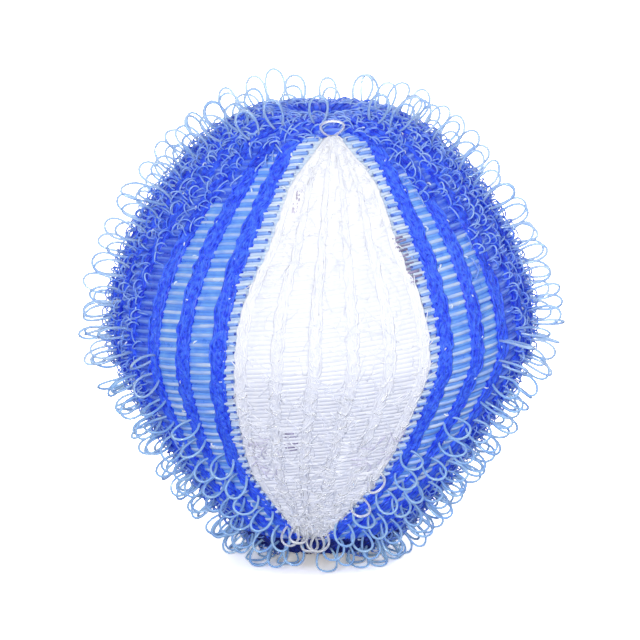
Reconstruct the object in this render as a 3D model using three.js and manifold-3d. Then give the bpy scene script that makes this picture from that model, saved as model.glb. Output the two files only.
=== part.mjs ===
// Knitted laundry ball: a hollow ball of chain-stitch wales that run from pole to pole, joined by
// laid-in filaments that cross between the wales and stand out of the net as loops. Most of the
// ball is blue, and one lens-shaped panel of white wales and filaments faces -Y, which the blue
// wales shut at both ends. The blue wales turn inward at both poles, where a closing thread is
// wound round their ends.
// Millimetres and degrees, +Z up. The ball rests on the floor plane z = 0 with its axis on Z.

import * as THREE from 'three';
import Module from 'manifold-3d';

// Net: the line that the middle of every wale follows
const netRadius = 15.2;        // at the widest place
const standHeight = 1.2;       // flat underside above the floor, on the lowest loops
const crownRise = 16;          // widest place up to the flat crown
const crownFlat = 4.3;         // radius of the flat crown
const crownSweep = 2.4;        // how far the crown goes on level before it falls
const shoulderUpright = 8.6;   // how far the side stays upright above the widest place
const baseDrop = 15.8;         // widest place down to the flat underside
const baseFlat = 4;            // radius of the flat underside
const baseSweep = 2.5;         // how far the underside goes on level before it rises
const flankUpright = 3.1;      // how far the side stays upright below the widest place
const neckRadius = 1.8;        // ring of turned-in wale ends at each pole
const neckDepth = 3.2;         // how deep the ends turn in
const neckBend = 1;            // bend into the neck

// Wales
const blueWales = 27;
const whiteWales = 6;
const waleFill = 0.5;          // share of the spacing that a wale's width takes
const waleThickness = 0.8;
const neckThickness = 0.36;
const waleSides = 6;
const flankSteps = 5;
const crownSteps = 7;
const bendSteps = 2;
const leanLowAngle = 13;       // turn of the wales round the axis, from the widest place to the base
const leanHighAngle = 7;       // and the other way, from the widest place to the crown

// White panel: a lens between two blue wales, which shut it towards the poles
const panelAngle = 31.5;       // middle of the panel to the blue wale at its edge, at the widest place
const panelLowAngle = 32;      // what that angle would come to at the poles with the panel open
const panelHighAngle = 21;
const panelLowShut = 4.2;      // net radius where the panel is shut, and where it is fully open
const panelLowOpen = 12;
const panelHighShut = 4.5;
const panelHighOpen = 7.6;
const widePanelShare = 0.87;   // share of the panel that the white wales span, at the widest place
const lowPanelShare = 0.84;    // below it
const highPanelShare = 0.78;   // and above it, where they end in a point
const whiteShareRadius = 12.5; // net radius from which the share grows to that of the widest place
const whitePointRadius = 9.5;  // net radius from which it falls towards the point
const whiteLowRadius = 6.2;    // net radius at the ends of the white wales
const whiteHighRadius = 7.2;

// Filaments and their loops
const filamentDiameter = 0.22;
const filamentSides = 3;
const layClearance = 0.1;      // between the filaments that lie across and the wales above them
const riserStandoff = 0.3;     // loop foot to the side of its wale, where there is room
const loopReach = 2.4;         // loop tip outside the middle of the wale
const loopWidth = 1.5;
const footSpacing = 0.9;       // between the two feet of a loop, along the wale
const loopTwistAngle = 35;     // turn of the loop above the wale, out of the wale's plane
const blueCourses = 9;         // loops of a blue filament
const whiteCourses = 8;        // loops of a white or border filament
const blueFirstRadius = 3.8;   // net radius at the lowest and highest loop of a blue filament
const blueLastRadius = 5;
const whiteFirstRadius = 9.4;
const whiteLastRadius = 9.4;
const restCut = 0.075;         // depth of the flat that the floor leaves on the lowest loops

// Closing threads
const threadDiameter = 0.5;
const threadTurns = 2;
const threadPitch = 0.95;
const threadClearance = 0.1;
const threadSides = 5;
const threadStepsPerTurn = 12;

const DEG = Math.PI / 180;
const placeTolerance = 1e-9;   // share of the outline
const filamentRadius = filamentDiameter / 2;
const baseHeight = standHeight;
const restHeight = standHeight + baseDrop;
const crownHeight = restHeight + crownRise;
const layDepth = waleThickness / 2 + layClearance + filamentRadius;

const materials = {
  blueYarn: { color: 0x2c43b4, roughness: 0.45 },
  blueFilament: { color: 0x86b0ee, roughness: 0.3 },
  whiteYarn: { color: 0xe9edf6, roughness: 0.45 },
  whiteFilament: { color: 0xf6f8fc, roughness: 0.3 },
};

// Outline of the net in the plane of its axis, from the end of the lower neck to the upper one
function netOutline() {
  const outline = new THREE.Path();
  outline.moveTo(neckRadius, baseHeight + neckDepth);
  outline.lineTo(neckRadius, baseHeight + neckBend);
  outline.quadraticCurveTo(neckRadius, baseHeight, neckRadius + neckBend, baseHeight);
  outline.lineTo(baseFlat, baseHeight);
  outline.bezierCurveTo(
    baseFlat + baseSweep, baseHeight, netRadius, restHeight - flankUpright, netRadius, restHeight);
  outline.bezierCurveTo(
    netRadius, restHeight + shoulderUpright, crownFlat + crownSweep, crownHeight, crownFlat, crownHeight);
  outline.lineTo(neckRadius + neckBend, crownHeight);
  outline.quadraticCurveTo(neckRadius, crownHeight, neckRadius, crownHeight - neckBend);
  outline.lineTo(neckRadius, crownHeight - neckDepth);
  return outline;
}

const outline = netOutline();
const outlineSteps = [1, bendSteps, 1, flankSteps, crownSteps, 1, bendSteps, 1];
const outlineLength = outline.getLength();
const stretchEnds = [0, ...outline.getCurveLengths()].map((length) => length / outlineLength);
const [, , flatAt, , widestAt, , crownFlatAt] = stretchEnds;

// Point on the net with its directions along the wale, out of the ball and across the wales
function netFrame(at, azimuth) {
  const { x: radius, y: height } = outline.getPoint(at);
  const slope = outline.getTangent(at);
  const out = new THREE.Vector3(Math.sin(azimuth), -Math.cos(azimuth), 0);
  const up = new THREE.Vector3(0, 0, 1);
  return {
    point: out.clone().multiplyScalar(radius).addScaledVector(up, height),
    along: out.clone().multiplyScalar(slope.x).addScaledVector(up, slope.y),
    normal: out.clone().multiplyScalar(slope.y).addScaledVector(up, -slope.x),
    across: new THREE.Vector3(Math.cos(azimuth), Math.sin(azimuth), 0),
  };
}

// Place on the outer side of the outline where it has a given radius, below or above the middle
function placeAtRadius(radius, upper) {
  let wide = widestAt;
  let narrow = upper ? crownFlatAt : flatAt;
  while (Math.abs(wide - narrow) > placeTolerance) {
    const middle = (wide + narrow) / 2;
    if (outline.getPoint(middle).x > radius) wide = middle;
    else narrow = middle;
  }
  return wide;
}

const whiteStart = placeAtRadius(whiteLowRadius, false);
const whiteEnd = placeAtRadius(whiteHighRadius, true);

// Places along the outline, as shares of its length, where the sections of the wales lie
const stations = outlineSteps.flatMap((steps, i) => Array.from({ length: steps }, (_, k) =>
  THREE.MathUtils.lerp(stretchEnds[i], stretchEnds[i + 1], k / steps)));
const blueStations = [...stations, whiteStart, whiteEnd, 1].sort((a, b) => a - b);
const whiteStations = blueStations.filter((at) => at >= whiteStart && at <= whiteEnd);

// One at the widest place, falling to nothing at both poles
function spread(at) {
  const share = at < widestAt ? (widestAt - at) / widestAt : (at - widestAt) / (1 - widestAt);
  return (1 + Math.cos(Math.PI * share)) / 2;
}

// Turn of the knit round the axis: its wales lean one way below the widest place and back above it
function lean(at) {
  const below = Math.max(0, 1 - at / widestAt);
  const above = Math.max(0, (at - widestAt) / (1 - widestAt));
  return DEG * (leanHighAngle * above ** 2 - leanLowAngle * below);
}

// Nothing where the panel is shut, and one where it is fully open
function opening(at) {
  const radius = outline.getPoint(at).x;
  return at < widestAt
    ? THREE.MathUtils.smoothstep(radius, panelLowShut, panelLowOpen)
    : THREE.MathUtils.smoothstep(radius, panelHighShut, panelHighOpen);
}

// Angle from the middle of the panel to the blue wale at its edge: even spacing where it is shut
function blueEdge(at) {
  const poleAngle = at < widestAt ? panelLowAngle : panelHighAngle;
  const openAngle = THREE.MathUtils.lerp(poleAngle, panelAngle, spread(at));
  return THREE.MathUtils.lerp(Math.PI / blueWales, DEG * openAngle, opening(at));
}

// Share of the panel that the white wales span
function whiteShare(at) {
  const radius = outline.getPoint(at).x;
  const point = THREE.MathUtils.smoothstep(radius, panelHighShut, whitePointRadius);
  const share = at < widestAt ? lowPanelShare : highPanelShare * point;
  return THREE.MathUtils.lerp(
    share, widePanelShare, THREE.MathUtils.smoothstep(radius, whiteShareRadius, netRadius));
}

const blueStep = (at) => 2 * (Math.PI - blueEdge(at)) / (blueWales - 1);
const whiteEdge = (at) => whiteShare(at) * (blueEdge(at) - waleFill / 2 * blueStep(at));
const whiteStep = (at) => 2 * whiteEdge(at) / (whiteWales - 1);

// Closed solid through rings of points that all have the same count
function loft(rings) {
  const sides = rings[0].length;
  const positions = rings.flat().flatMap((p) => [p.x, p.y, p.z]);
  const index = [];
  for (let i = 0; i + 1 < rings.length; i++) {
    for (let k = 0; k < sides; k++) {
      const a = i * sides + k;
      const b = i * sides + (k + 1) % sides;
      index.push(a, b, b + sides, a, b + sides, a + sides);
    }
  }
  const last = (rings.length - 1) * sides;
  for (let k = 1; k + 1 < sides; k++) {
    index.push(0, k + 1, k, last, last + k, last + k + 1);
  }
  const geometry = new THREE.BufferGeometry();
  geometry.setAttribute('position', new THREE.Float32BufferAttribute(positions, 3));
  geometry.setIndex(index);
  return geometry;
}

// Round bar of a few sides through a row of points, its section carried along without twist
function barThrough(points, radius, sides) {
  const directions = points.map((p, i) => {
    const before = points[Math.max(i - 1, 0)];
    const after = points[Math.min(i + 1, points.length - 1)];
    const back = p.clone().sub(before).normalize();
    const ahead = after.clone().sub(p).normalize();
    return back.add(ahead).normalize();
  });
  const steep = Math.abs(directions[0].z) > Math.SQRT1_2;
  const side = new THREE.Vector3(steep ? 1 : 0, 0, steep ? 0 : 1).cross(directions[0]).normalize();
  const rings = points.map((p, i) => {
    if (i > 0) {
      const turn = new THREE.Quaternion().setFromUnitVectors(directions[i - 1], directions[i]);
      side.applyQuaternion(turn);
    }
    side.addScaledVector(directions[i], -side.dot(directions[i])).normalize();
    const other = directions[i].clone().cross(side);
    return Array.from({ length: sides }, (_, k) => {
      const angle = 2 * Math.PI * k / sides;
      return p.clone()
        .addScaledVector(side, radius * Math.cos(angle))
        .addScaledVector(other, radius * Math.sin(angle));
    });
  });
  return loft(rings);
}

// Wale: a flattened bar along the outline, narrower where the wales crowd together
function waleGeometry(wale) {
  const rings = wale.stations.map((at) => {
    const { point, normal, across } = netFrame(at, wale.azimuth(at));
    const thickness = THREE.MathUtils.mapLinear(
      Math.min(outline.getPoint(at).x, baseFlat),
      neckRadius, baseFlat, neckThickness, waleThickness);
    return Array.from({ length: waleSides }, (_, k) => {
      const angle = -2 * Math.PI * k / waleSides;
      return point.clone()
        .addScaledVector(across, wale.halfWidth(at) * Math.cos(angle))
        .addScaledVector(normal, thickness / 2 * Math.sin(angle));
    });
  });
  return loft(rings);
}

// One loop beside a wale: up out of the net, round, and back down one foot spacing further along
function loopPoints(at, azimuth, turn) {
  const { point, along, normal, across } = netFrame(at, azimuth);
  const foot = footSpacing / 2;
  const belly = loopWidth / 2;
  const floorGap = point.z - Math.abs(along.z) * belly / 2 - filamentRadius + restCut;
  const reach = normal.z < 0 ? Math.min(loopReach, floorGap / -normal.z) : loopReach;
  const clear = waleThickness / 2 + layClearance + filamentRadius;
  const half = [
    [-layDepth, foot, 0],
    [clear, foot, 0],
    [(clear + reach) / 2, belly, 1],
    [reach, belly / 2, 1],
  ];
  const place = ([height, offset, lean], sign) => point.clone()
    .addScaledVector(normal, height)
    .addScaledVector(along, sign * offset * Math.cos(lean * turn))
    .addScaledVector(across, sign * offset * Math.sin(lean * turn));
  return [
    ...half.map((row) => place(row, -1)),
    ...half.toReversed().map((row) => place(row, 1)),
  ];
}

// Filament: laid across under the wales, with a loop at every turn
function filamentPoints({ from, under, to, courses, first, last }) {
  const points = [];
  for (let k = 0; k < courses; k++) {
    const at = THREE.MathUtils.lerp(first, last, k / (courses - 1));
    const radius = outline.getPoint(at).x;
    const leftSide = k % 2 === 0;
    const wale = leftSide ? from : to;
    const next = under ?? (leftSide ? to : from);
    const gap = Math.abs(next.azimuth(at) - wale.azimuth(at)) * radius
      - wale.halfWidth(at) - next.halfWidth(at);
    const offset = (wale.halfWidth(at) + Math.min(riserStandoff, gap / 2)) / radius;
    const azimuth = wale.azimuth(at) + (leftSide ? offset : -offset);
    const turn = DEG * loopTwistAngle * (leftSide ? 1 : -1) * spread(at);
    points.push(...loopPoints(at, azimuth, turn));
    if (under && k + 1 < courses) {
      const between = at + (last - first) / (courses - 1) / 2;
      const { point, normal } = netFrame(between, under.azimuth(between));
      points.push(point.addScaledVector(normal, -layDepth));
    }
  }
  return points;
}

// Least clear distance between parts of one bar that lie some way apart along it
function leastGap(points, diameter) {
  const path = new THREE.CurvePath();
  for (let i = 0; i + 1 < points.length; i++) {
    path.add(new THREE.LineCurve3(points[i], points[i + 1]));
  }
  const step = diameter;
  const apart = Math.ceil(Math.PI * footSpacing / 2 / step);
  const count = Math.floor(path.getLength() / step);
  const samples = Array.from({ length: count + 1 }, (_, k) => path.getPoint(k / count));
  let least = Infinity;
  for (let i = 0; i < samples.length; i++) {
    for (let k = i + apart; k < samples.length; k++) {
      least = Math.min(least, samples[i].distanceTo(samples[k]) - diameter);
    }
  }
  return least;
}

// Closing thread: wound round the turned-in ends of the wales
function threadPoints(upper) {
  const winding = neckRadius + neckThickness / 2 + threadClearance + threadDiameter / 2;
  const rise = threadTurns * threadPitch;
  const neckEnd = outline.getPoint(upper ? 1 : 0).y;
  const start = upper ? neckEnd + threadDiameter / 2 : neckEnd - rise - threadDiameter / 2;
  const steps = threadTurns * threadStepsPerTurn;
  return Array.from({ length: steps + 1 }, (_, k) => {
    const angle = 2 * Math.PI * k / threadStepsPerTurn;
    return new THREE.Vector3(
      winding * Math.cos(angle), winding * Math.sin(angle), start + rise * k / steps);
  });
}

const wasm = await Module();
wasm.setup();

function solidOf(geometry) {
  return new wasm.Manifold(new wasm.Mesh({
    numProp: 3,
    vertProperties: Float32Array.from(geometry.getAttribute('position').array),
    triVerts: Uint32Array.from(geometry.getIndex().array),
  }));
}

// Block below the floor plane, wider than the ball
function floorBlock() {
  const reach = netRadius + 2 * loopReach;
  const square = (z) => [[-1, -1], [1, -1], [1, 1], [-1, 1]]
    .map(([x, y]) => new THREE.Vector3(x * reach, y * reach, z));
  return solidOf(loft([square(-reach), square(0)]));
}

// The floor takes a thin flat off the tips of the loops that the ball stands on
function restOnFloor(geometry) {
  const cut = solidOf(geometry).subtract(floorBlock()).getMesh();
  const result = new THREE.BufferGeometry();
  result.setAttribute('position', new THREE.Float32BufferAttribute(cut.vertProperties, 3));
  result.setIndex(new THREE.Uint32BufferAttribute(cut.triVerts, 1));
  return result;
}

const ball = new THREE.Group();
ball.name = 'laundry_ball';

function addPiece(name, geometry, material) {
  geometry.computeVertexNormals();
  const finish = new THREE.MeshStandardMaterial({ ...materials[material], metalness: 0 });
  finish.name = material;
  const mesh = new THREE.Mesh(geometry, finish);
  mesh.name = name;
  ball.add(mesh);
}

const number = (i) => String(i + 1).padStart(2, '0');

const blue = Array.from({ length: blueWales }, (_, i) => ({
  stations: blueStations,
  azimuth: (at) => lean(at) + blueEdge(at) + i * blueStep(at),
  halfWidth: (at) => waleFill / 2 * blueStep(at) * outline.getPoint(at).x,
}));
const white = Array.from({ length: whiteWales }, (_, i) => ({
  stations: whiteStations,
  azimuth: (at) => lean(at) - whiteEdge(at) + i * whiteStep(at),
  halfWidth: (at) => waleFill / 2 * whiteStep(at) * outline.getPoint(at).x,
}));
const wrapped = (wale) => ({ ...wale, azimuth: (at) => wale.azimuth(at) - 2 * Math.PI });

blue.forEach((wale, i) => addPiece(`blue_wale_${number(i)}`, waleGeometry(wale), 'blueYarn'));
white.forEach((wale, i) => addPiece(`white_wale_${number(i)}`, waleGeometry(wale), 'whiteYarn'));

const blueRun = {
  courses: blueCourses,
  first: placeAtRadius(blueFirstRadius, false),
  last: placeAtRadius(blueLastRadius, true),
};
const whiteRun = {
  courses: whiteCourses,
  first: placeAtRadius(whiteFirstRadius, false),
  last: placeAtRadius(whiteLastRadius, true),
};

const filaments = [];
for (let i = 0; i + 2 < blueWales; i += 2) {
  filaments.push({
    name: `blue_filament_${number(i / 2)}`, material: 'blueFilament',
    from: blue[i], under: blue[i + 1], to: blue[i + 2], ...blueRun,
  });
}
filaments.push({
  name: 'border_filament_left', material: 'blueFilament',
  from: wrapped(blue.at(-1)), to: white[0], ...whiteRun,
});
for (let i = 0; i + 1 < whiteWales; i++) {
  filaments.push({
    name: `white_filament_${number(i)}`, material: 'whiteFilament',
    from: white[i], to: white[i + 1], ...whiteRun,
  });
}
filaments.push({
  name: 'border_filament_right', material: 'blueFilament',
  from: white.at(-1), to: blue[0], ...whiteRun,
});

const gaps = filaments.map(({ name, material, ...run }) => {
  const points = filamentPoints(run);
  addPiece(name, restOnFloor(barThrough(points, filamentRadius, filamentSides)), material);
  return leastGap(points, filamentDiameter);
});
console.log(`least gap of a filament to itself ${Math.min(...gaps).toFixed(2)} mm`);

for (const upper of [false, true]) {
  const points = threadPoints(upper);
  const name = upper ? 'top_closing_thread' : 'bottom_closing_thread';
  addPiece(name, barThrough(points, threadDiameter / 2, threadSides), 'blueYarn');
  const gap = threadPitch - threadDiameter;
  console.log(`least gap of ${name} to itself ${gap.toFixed(2)} mm`);
}

export default ball;
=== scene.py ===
"""Knitted laundry ball: deep blue chain wales, light blue laid-in filaments with loops, a white panel.

Lengths are in millimetres until a mesh is made, which is in metres. A place on a wale, called s, is a
length along the net's outline, from the end of the lower neck to the end of the upper one.
"""
import math
from typing import NamedTuple

import bpy
import numpy as np
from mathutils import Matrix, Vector


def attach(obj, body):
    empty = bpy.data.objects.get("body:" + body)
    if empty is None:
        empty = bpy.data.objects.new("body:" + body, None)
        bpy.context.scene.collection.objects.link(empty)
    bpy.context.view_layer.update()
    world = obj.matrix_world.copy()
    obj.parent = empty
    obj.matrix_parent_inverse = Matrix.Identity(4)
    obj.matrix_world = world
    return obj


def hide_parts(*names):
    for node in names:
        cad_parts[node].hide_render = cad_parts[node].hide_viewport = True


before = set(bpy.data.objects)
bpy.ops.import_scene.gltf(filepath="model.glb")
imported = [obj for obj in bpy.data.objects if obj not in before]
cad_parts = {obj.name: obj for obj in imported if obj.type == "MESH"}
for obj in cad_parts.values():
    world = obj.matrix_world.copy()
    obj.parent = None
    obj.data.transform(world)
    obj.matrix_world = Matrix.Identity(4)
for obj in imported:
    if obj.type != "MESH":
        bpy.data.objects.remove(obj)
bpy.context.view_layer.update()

MM = 0.001

# Net: the line that the middle of every wale follows, as in the part's source
NET_RADIUS = 15.2        # at the widest place
STAND_HEIGHT = 1.2       # flat underside above the floor
CROWN_RISE = 16.0        # widest place up to the flat crown
CROWN_FLAT = 4.3         # radius of the flat crown
CROWN_SWEEP = 2.4        # how far the crown goes on level before it falls
SHOULDER_UPRIGHT = 8.6   # how far the side stays upright above the widest place
BASE_DROP = 15.8         # widest place down to the flat underside
BASE_FLAT = 4.0          # radius of the flat underside
BASE_SWEEP = 2.5         # how far the underside goes on level before it rises
FLANK_UPRIGHT = 3.1      # how far the side stays upright below the widest place
NECK_RADIUS = 1.8        # ring of turned-in wale ends at each pole
NECK_DEPTH = 3.2         # how deep the ends turn in
NECK_BEND = 1.0          # bend into the neck
MIDDLE = STAND_HEIGHT + BASE_DROP
TOP = MIDDLE + CROWN_RISE

# Wales: shares of the spacing that they fill, and degrees that they lean round the axis
BLUE_WALES = 27
WHITE_WALES = 6
WALE_FILL = 0.5
YARN_FILL, POLE_FILL, WHITE_FILL = 0.46, 0.8, 0.38
LEAN_LOW, LEAN_HIGH = 13.0, 7.0

# White panel: degrees to its edge, net radii where it is shut and open, and the share of the white wales
PANEL_ANGLE = 31.5
PANEL_LOW_ANGLE, PANEL_HIGH_ANGLE = 32.0, 21.0
PANEL_LOW_SHUT, PANEL_LOW_OPEN = 4.2, 12.0
PANEL_HIGH_SHUT, PANEL_HIGH_OPEN = 4.5, 7.6
LOW_SHARE, HIGH_SHARE, WIDE_SHARE = 0.84, 0.73, 0.87
SHARE_RADIUS, POINT_RADIUS = 12.5, 10.5
WHITE_LOW_RADIUS, WHITE_HIGH_RADIUS = 5.5, 5.6
SINK_RADIUS, SINK_RISE, SINK_DEPTH = 5.8, 1.1, 0.8

# Strands: radii, and the number of sides of their tubes
COURSE = 0.67
STRAND_RADIUS = 0.085
LEAST_WIDTH = 0.03
FILAMENT_RADIUS = 0.095
RUNG_RADIUS, RIDGE_RADIUS, NECK_RUNG_RADIUS = 0.24, 0.16, 0.2
STRAND_SIDES, FINE_SIDES, FILAMENT_SIDES, THREAD_SIDES = 4, 5, 6, 8

# Rungs: lengthwise skew, height of their feet over the middle of the wales, and rise between the wales
RUNG_POINTS = 5
RUNG_SKEW = 0.3
RUNG_BASE, RIDGE_BASE = -0.3, -0.2
RUNG_RISE, RIDGE_RISE = 0.1, 0.16
NECK_INSIDE = 0.8

# Net radii where the ladders end: blue gaps, the gap that shuts the panel, its borders and its own gaps
LADDER_RADIUS = 3.2
SHUT_LOW_RADIUS, SHUT_HIGH_RADIUS = 6.3, 6.0
BORDER_RADIUS = 6.2
WHITE_LADDER_RADIUS = 6.0
WHITE_LOOSE_TO = -8.5    # from the widest place

# Long blue loops: spacings, net radii at their ends, and places from the widest one
LOOP_SPACING, LOW_LOOP_SPACING = 1.45, 1.8
LOOP_LOW_RADIUS, PANEL_LOOP_LOW_RADIUS = 3.8, 5.2
LOOP_HIGH_RADII = (5.5, 4.2, 4.8)
LOOP_SHIFTS = (0.0, 0.4, 0.75)
LOW_LOOPS_TO, HIGH_LOOPS_FROM, ODD_LOOPS_TO = -2.1, -1.6, 2.0
PANEL_SIDE_WALES = 2

# Smooth stretch of the wales beside the panel, by the number of wales from it
SMOOTH_FROM = {0: -7.0, 1: -4.0, 2: 1.0}
SMOOTH_TO_RADIUS, EDGE_SMOOTH_TO_RADIUS = 7.5, 5.5

# Short blue loops: net radii from which they cover the wales near the panel, upper ends and spacings
TANGLE_RADIUS = {0: 7.5, 1: 11.0, 2: 14.0, 24: 12.6, 25: 9.0, 26: 7.0}
SHORT_HIGH_RADIUS, SHORT_SPACING = 2.9, 0.5
FLAT_HIGH_RADIUS, FLAT_SPACING = 2.6, 0.55
# Tiny near-white loops along the wales, whose colour paints glints
GLINT_HIGH_RADIUS, GLINT_SPACING, GLINT_START = 3.2, 2.9, 2.0

# White loops: places of the long ones on each wale, spacing and end of the short ones
WHITE_LOOPS = {0: (1.2,), 1: (1.3,), 2: (0.1,), 3: (0.5,), 4: (0.3,), 5: (4.3, 6.9)}
WHITE_LOOP_RADIUS, APEX_RADIUS = 6.6, 6.2
WHITE_CURL_SPACING, WHITE_CURLS_TO = 1.3, -2.0

# First seed of each kind of strand
SEED = {"blue wale": 100, "white wale": 200, "first ladder": 300, "second ladder": 330,
        "shut ladder": 350, "low loops": 360, "high loops": 390, "short loops": 420, "flat loops": 450,
        "glints": 480, "border teeth": 500, "border rungs": 502, "border shade": 504,
        "low white rungs": 510, "high white rungs": 520, "upper shade": 530, "lower shade": 531,
        "white loops": 540, "fluff": 560, "white curls": 580, "apex loop": 590, "low fluff": 600,
        "left light shade": 620, "right light shade": 621, "first neck": 700, "second neck": 720, "shut neck": 735}
LAY_SEED, RIDGE_SEED, UPPER_NECK_SEED = 50, 1000, 40


# Net

def bezier(points, count):
    """Points on the Bezier curve with the given control points."""
    t = np.linspace(0.0, 1.0, count)[:, None]
    level = [np.asarray(p, float)[None, :] for p in points]
    while len(level) > 1:
        level = [(1 - t) * a + t * b for a, b in zip(level, level[1:])]
    return level[0]


def net_outline():
    """Radius and height along the outline, from the lower neck to the upper one, and the lengths."""
    base, bend = STAND_HEIGHT, NECK_RADIUS + NECK_BEND
    straight, turn, side = 20, 60, 400
    parts = [
        bezier([(NECK_RADIUS, base + NECK_DEPTH), (NECK_RADIUS, base + NECK_BEND)], straight),
        bezier([(NECK_RADIUS, base + NECK_BEND), (NECK_RADIUS, base), (bend, base)], turn),
        bezier([(bend, base), (BASE_FLAT, base)], straight),
        bezier([(BASE_FLAT, base), (BASE_FLAT + BASE_SWEEP, base),
                (NET_RADIUS, MIDDLE - FLANK_UPRIGHT), (NET_RADIUS, MIDDLE)], side),
        bezier([(NET_RADIUS, MIDDLE), (NET_RADIUS, MIDDLE + SHOULDER_UPRIGHT),
                (CROWN_FLAT + CROWN_SWEEP, TOP), (CROWN_FLAT, TOP)], side),
        bezier([(CROWN_FLAT, TOP), (bend, TOP)], straight),
        bezier([(bend, TOP), (NECK_RADIUS, TOP), (NECK_RADIUS, TOP - NECK_BEND)], turn),
        bezier([(NECK_RADIUS, TOP - NECK_BEND), (NECK_RADIUS, TOP - NECK_DEPTH)], straight),
    ]
    points = np.concatenate([parts[0]] + [part[1:] for part in parts[1:]])
    lengths = np.concatenate([[0.0], np.cumsum(np.linalg.norm(np.diff(points, axis=0), axis=1))])
    return points, lengths


OUTLINE, LENGTHS = net_outline()
LENGTH = LENGTHS[-1]
WIDEST = LENGTHS[np.argmax(OUTLINE[:, 0])]


def net_radius(s):
    return np.interp(s, LENGTHS, OUTLINE[:, 0])


def net_height(s):
    return np.interp(s, LENGTHS, OUTLINE[:, 1])


def net_frame(s, azimuth):
    """Points on the net with their directions along the wale, outward and across the wales."""
    s, azimuth = np.broadcast_arrays(np.asarray(s, float), np.asarray(azimuth, float))
    step = 0.05
    ahead, back = np.clip(s + step, 0, LENGTH), np.clip(s - step, 0, LENGTH)
    radius, height = net_radius(s), net_height(s)
    slope_r = net_radius(ahead) - net_radius(back)
    slope_z = net_height(ahead) - net_height(back)
    norm = np.hypot(slope_r, slope_z)
    slope_r, slope_z = slope_r / norm, slope_z / norm
    east, north, none = np.sin(azimuth), -np.cos(azimuth), np.zeros_like(s)
    point = np.stack([radius * east, radius * north, height], axis=-1)
    along = np.stack([slope_r * east, slope_r * north, slope_z], axis=-1)
    normal = np.stack([slope_z * east, slope_z * north, -slope_r], axis=-1)
    across = np.stack([np.cos(azimuth), np.sin(azimuth), none], axis=-1)
    return point, along, normal, across


def place_at_radius(radius, upper):
    """Place along the outline with a given radius, below or above the widest place."""
    side = LENGTHS >= WIDEST if upper else LENGTHS <= WIDEST
    side &= (LENGTHS > NECK_DEPTH) & (LENGTHS < LENGTH - NECK_DEPTH)
    return LENGTHS[side][np.argmin(np.abs(OUTLINE[side, 0] - radius))]


def places_at(radii, upper):
    """Places along one half of the outline with given radii."""
    return [place_at_radius(radius, upper) for radius in radii]


def ends_at(low_radius, high_radius):
    """The lower and the upper place with given radii."""
    return place_at_radius(low_radius, False), place_at_radius(high_radius, True)


# Top of the base that is painted with shade, and the place above which loops get lower
BASE_PLACE, CROWN_PLACE = ends_at(6.4, 6.5)


def ease(value, low, high):
    """Nothing below low, one above high, and smooth between them."""
    share = np.clip((value - low) / (high - low), 0, 1)
    return share * share * (3 - 2 * share)


def pole_share(s):
    """Nothing at the widest place, and one at the ends of the outline."""
    return np.where(s < WIDEST, (WIDEST - s) / WIDEST, (s - WIDEST) / (LENGTH - WIDEST))


def spread(s):
    """One at the widest place, falling to nothing at both poles."""
    return (1 + np.cos(np.pi * pole_share(s))) / 2


def lean(s):
    """Turn of the knit round the axis: one way below the widest place and back above it."""
    share = pole_share(s)
    return np.radians(np.where(s < WIDEST, -LEAN_LOW * share, LEAN_HIGH * share ** 2))


def panel_open(s):
    """One along the panel, and nothing near the poles, where the blue wales shut it."""
    radius = net_radius(s)
    return np.where(s < WIDEST, ease(radius, PANEL_LOW_SHUT, PANEL_LOW_OPEN),
                    ease(radius, PANEL_HIGH_SHUT, PANEL_HIGH_OPEN))


def blue_edge(s):
    """Angle from the panel's middle to the blue wale beside it."""
    pole_angle = np.where(s < WIDEST, PANEL_LOW_ANGLE, PANEL_HIGH_ANGLE)
    open_angle = np.radians(pole_angle + (PANEL_ANGLE - pole_angle) * spread(s))
    shut_angle = np.pi / BLUE_WALES
    return shut_angle + (open_angle - shut_angle) * panel_open(s)


def blue_step(s):
    return 2 * (np.pi - blue_edge(s)) / (BLUE_WALES - 1)


def white_edge(s):
    """Angle from the panel's middle to its outermost white wale, nearer the blue where it is wide."""
    radius = net_radius(s)
    narrow = np.where(s < WIDEST, LOW_SHARE, HIGH_SHARE * ease(radius, PANEL_HIGH_SHUT, POINT_RADIUS))
    share = narrow + (WIDE_SHARE - narrow) * ease(radius, SHARE_RADIUS, NET_RADIUS)
    return share * (blue_edge(s) - WALE_FILL / 2 * blue_step(s))


def white_step(s):
    return 2 * white_edge(s) / (WHITE_WALES - 1)


class Wale:
    """The place and width of one wale along the net."""

    def __init__(self, name, white, index, turns=0):
        self.name, self.white, self.index, self.turns = name, white, index, turns

    def azimuth(self, s):
        if self.white:
            return lean(s) - white_edge(s) + self.index * white_step(s)
        return lean(s) + blue_edge(s) + self.index * blue_step(s) + self.turns * 2 * np.pi

    def half_width(self, s):
        if self.white:
            return WHITE_FILL / 2 * white_step(s) * net_radius(s)
        fill = YARN_FILL + (POLE_FILL - YARN_FILL) * (1 - spread(s))
        return fill / 2 * blue_step(s) * net_radius(s)

    def sink(self, s):
        """The white wales go under the blue ones where these shut the panel."""
        if not self.white:
            return 0 * s
        return SINK_DEPTH * (1 - ease(net_radius(s), SINK_RADIUS, SINK_RADIUS + SINK_RISE))

    def ends(self):
        if self.white:
            return ends_at(WHITE_LOW_RADIUS, WHITE_HIGH_RADIUS)
        return 0.0, LENGTH

    def tangle_from(self):
        """The place above which short loops cover the wale: near the panel that is the crown only."""
        radius = TANGLE_RADIUS.get(self.index)
        return place_at_radius(radius, True) if radius else 0.0


BLUE = [Wale(f"blue_wale_{i + 1:02d}", False, i) for i in range(BLUE_WALES)]
WHITE = [Wale(f"white_wale_{i + 1:02d}", True, i) for i in range(WHITE_WALES)]
LEFT_EDGE = Wale(BLUE[-1].name, False, BLUE_WALES - 1, turns=-1)


# Meshes

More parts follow.
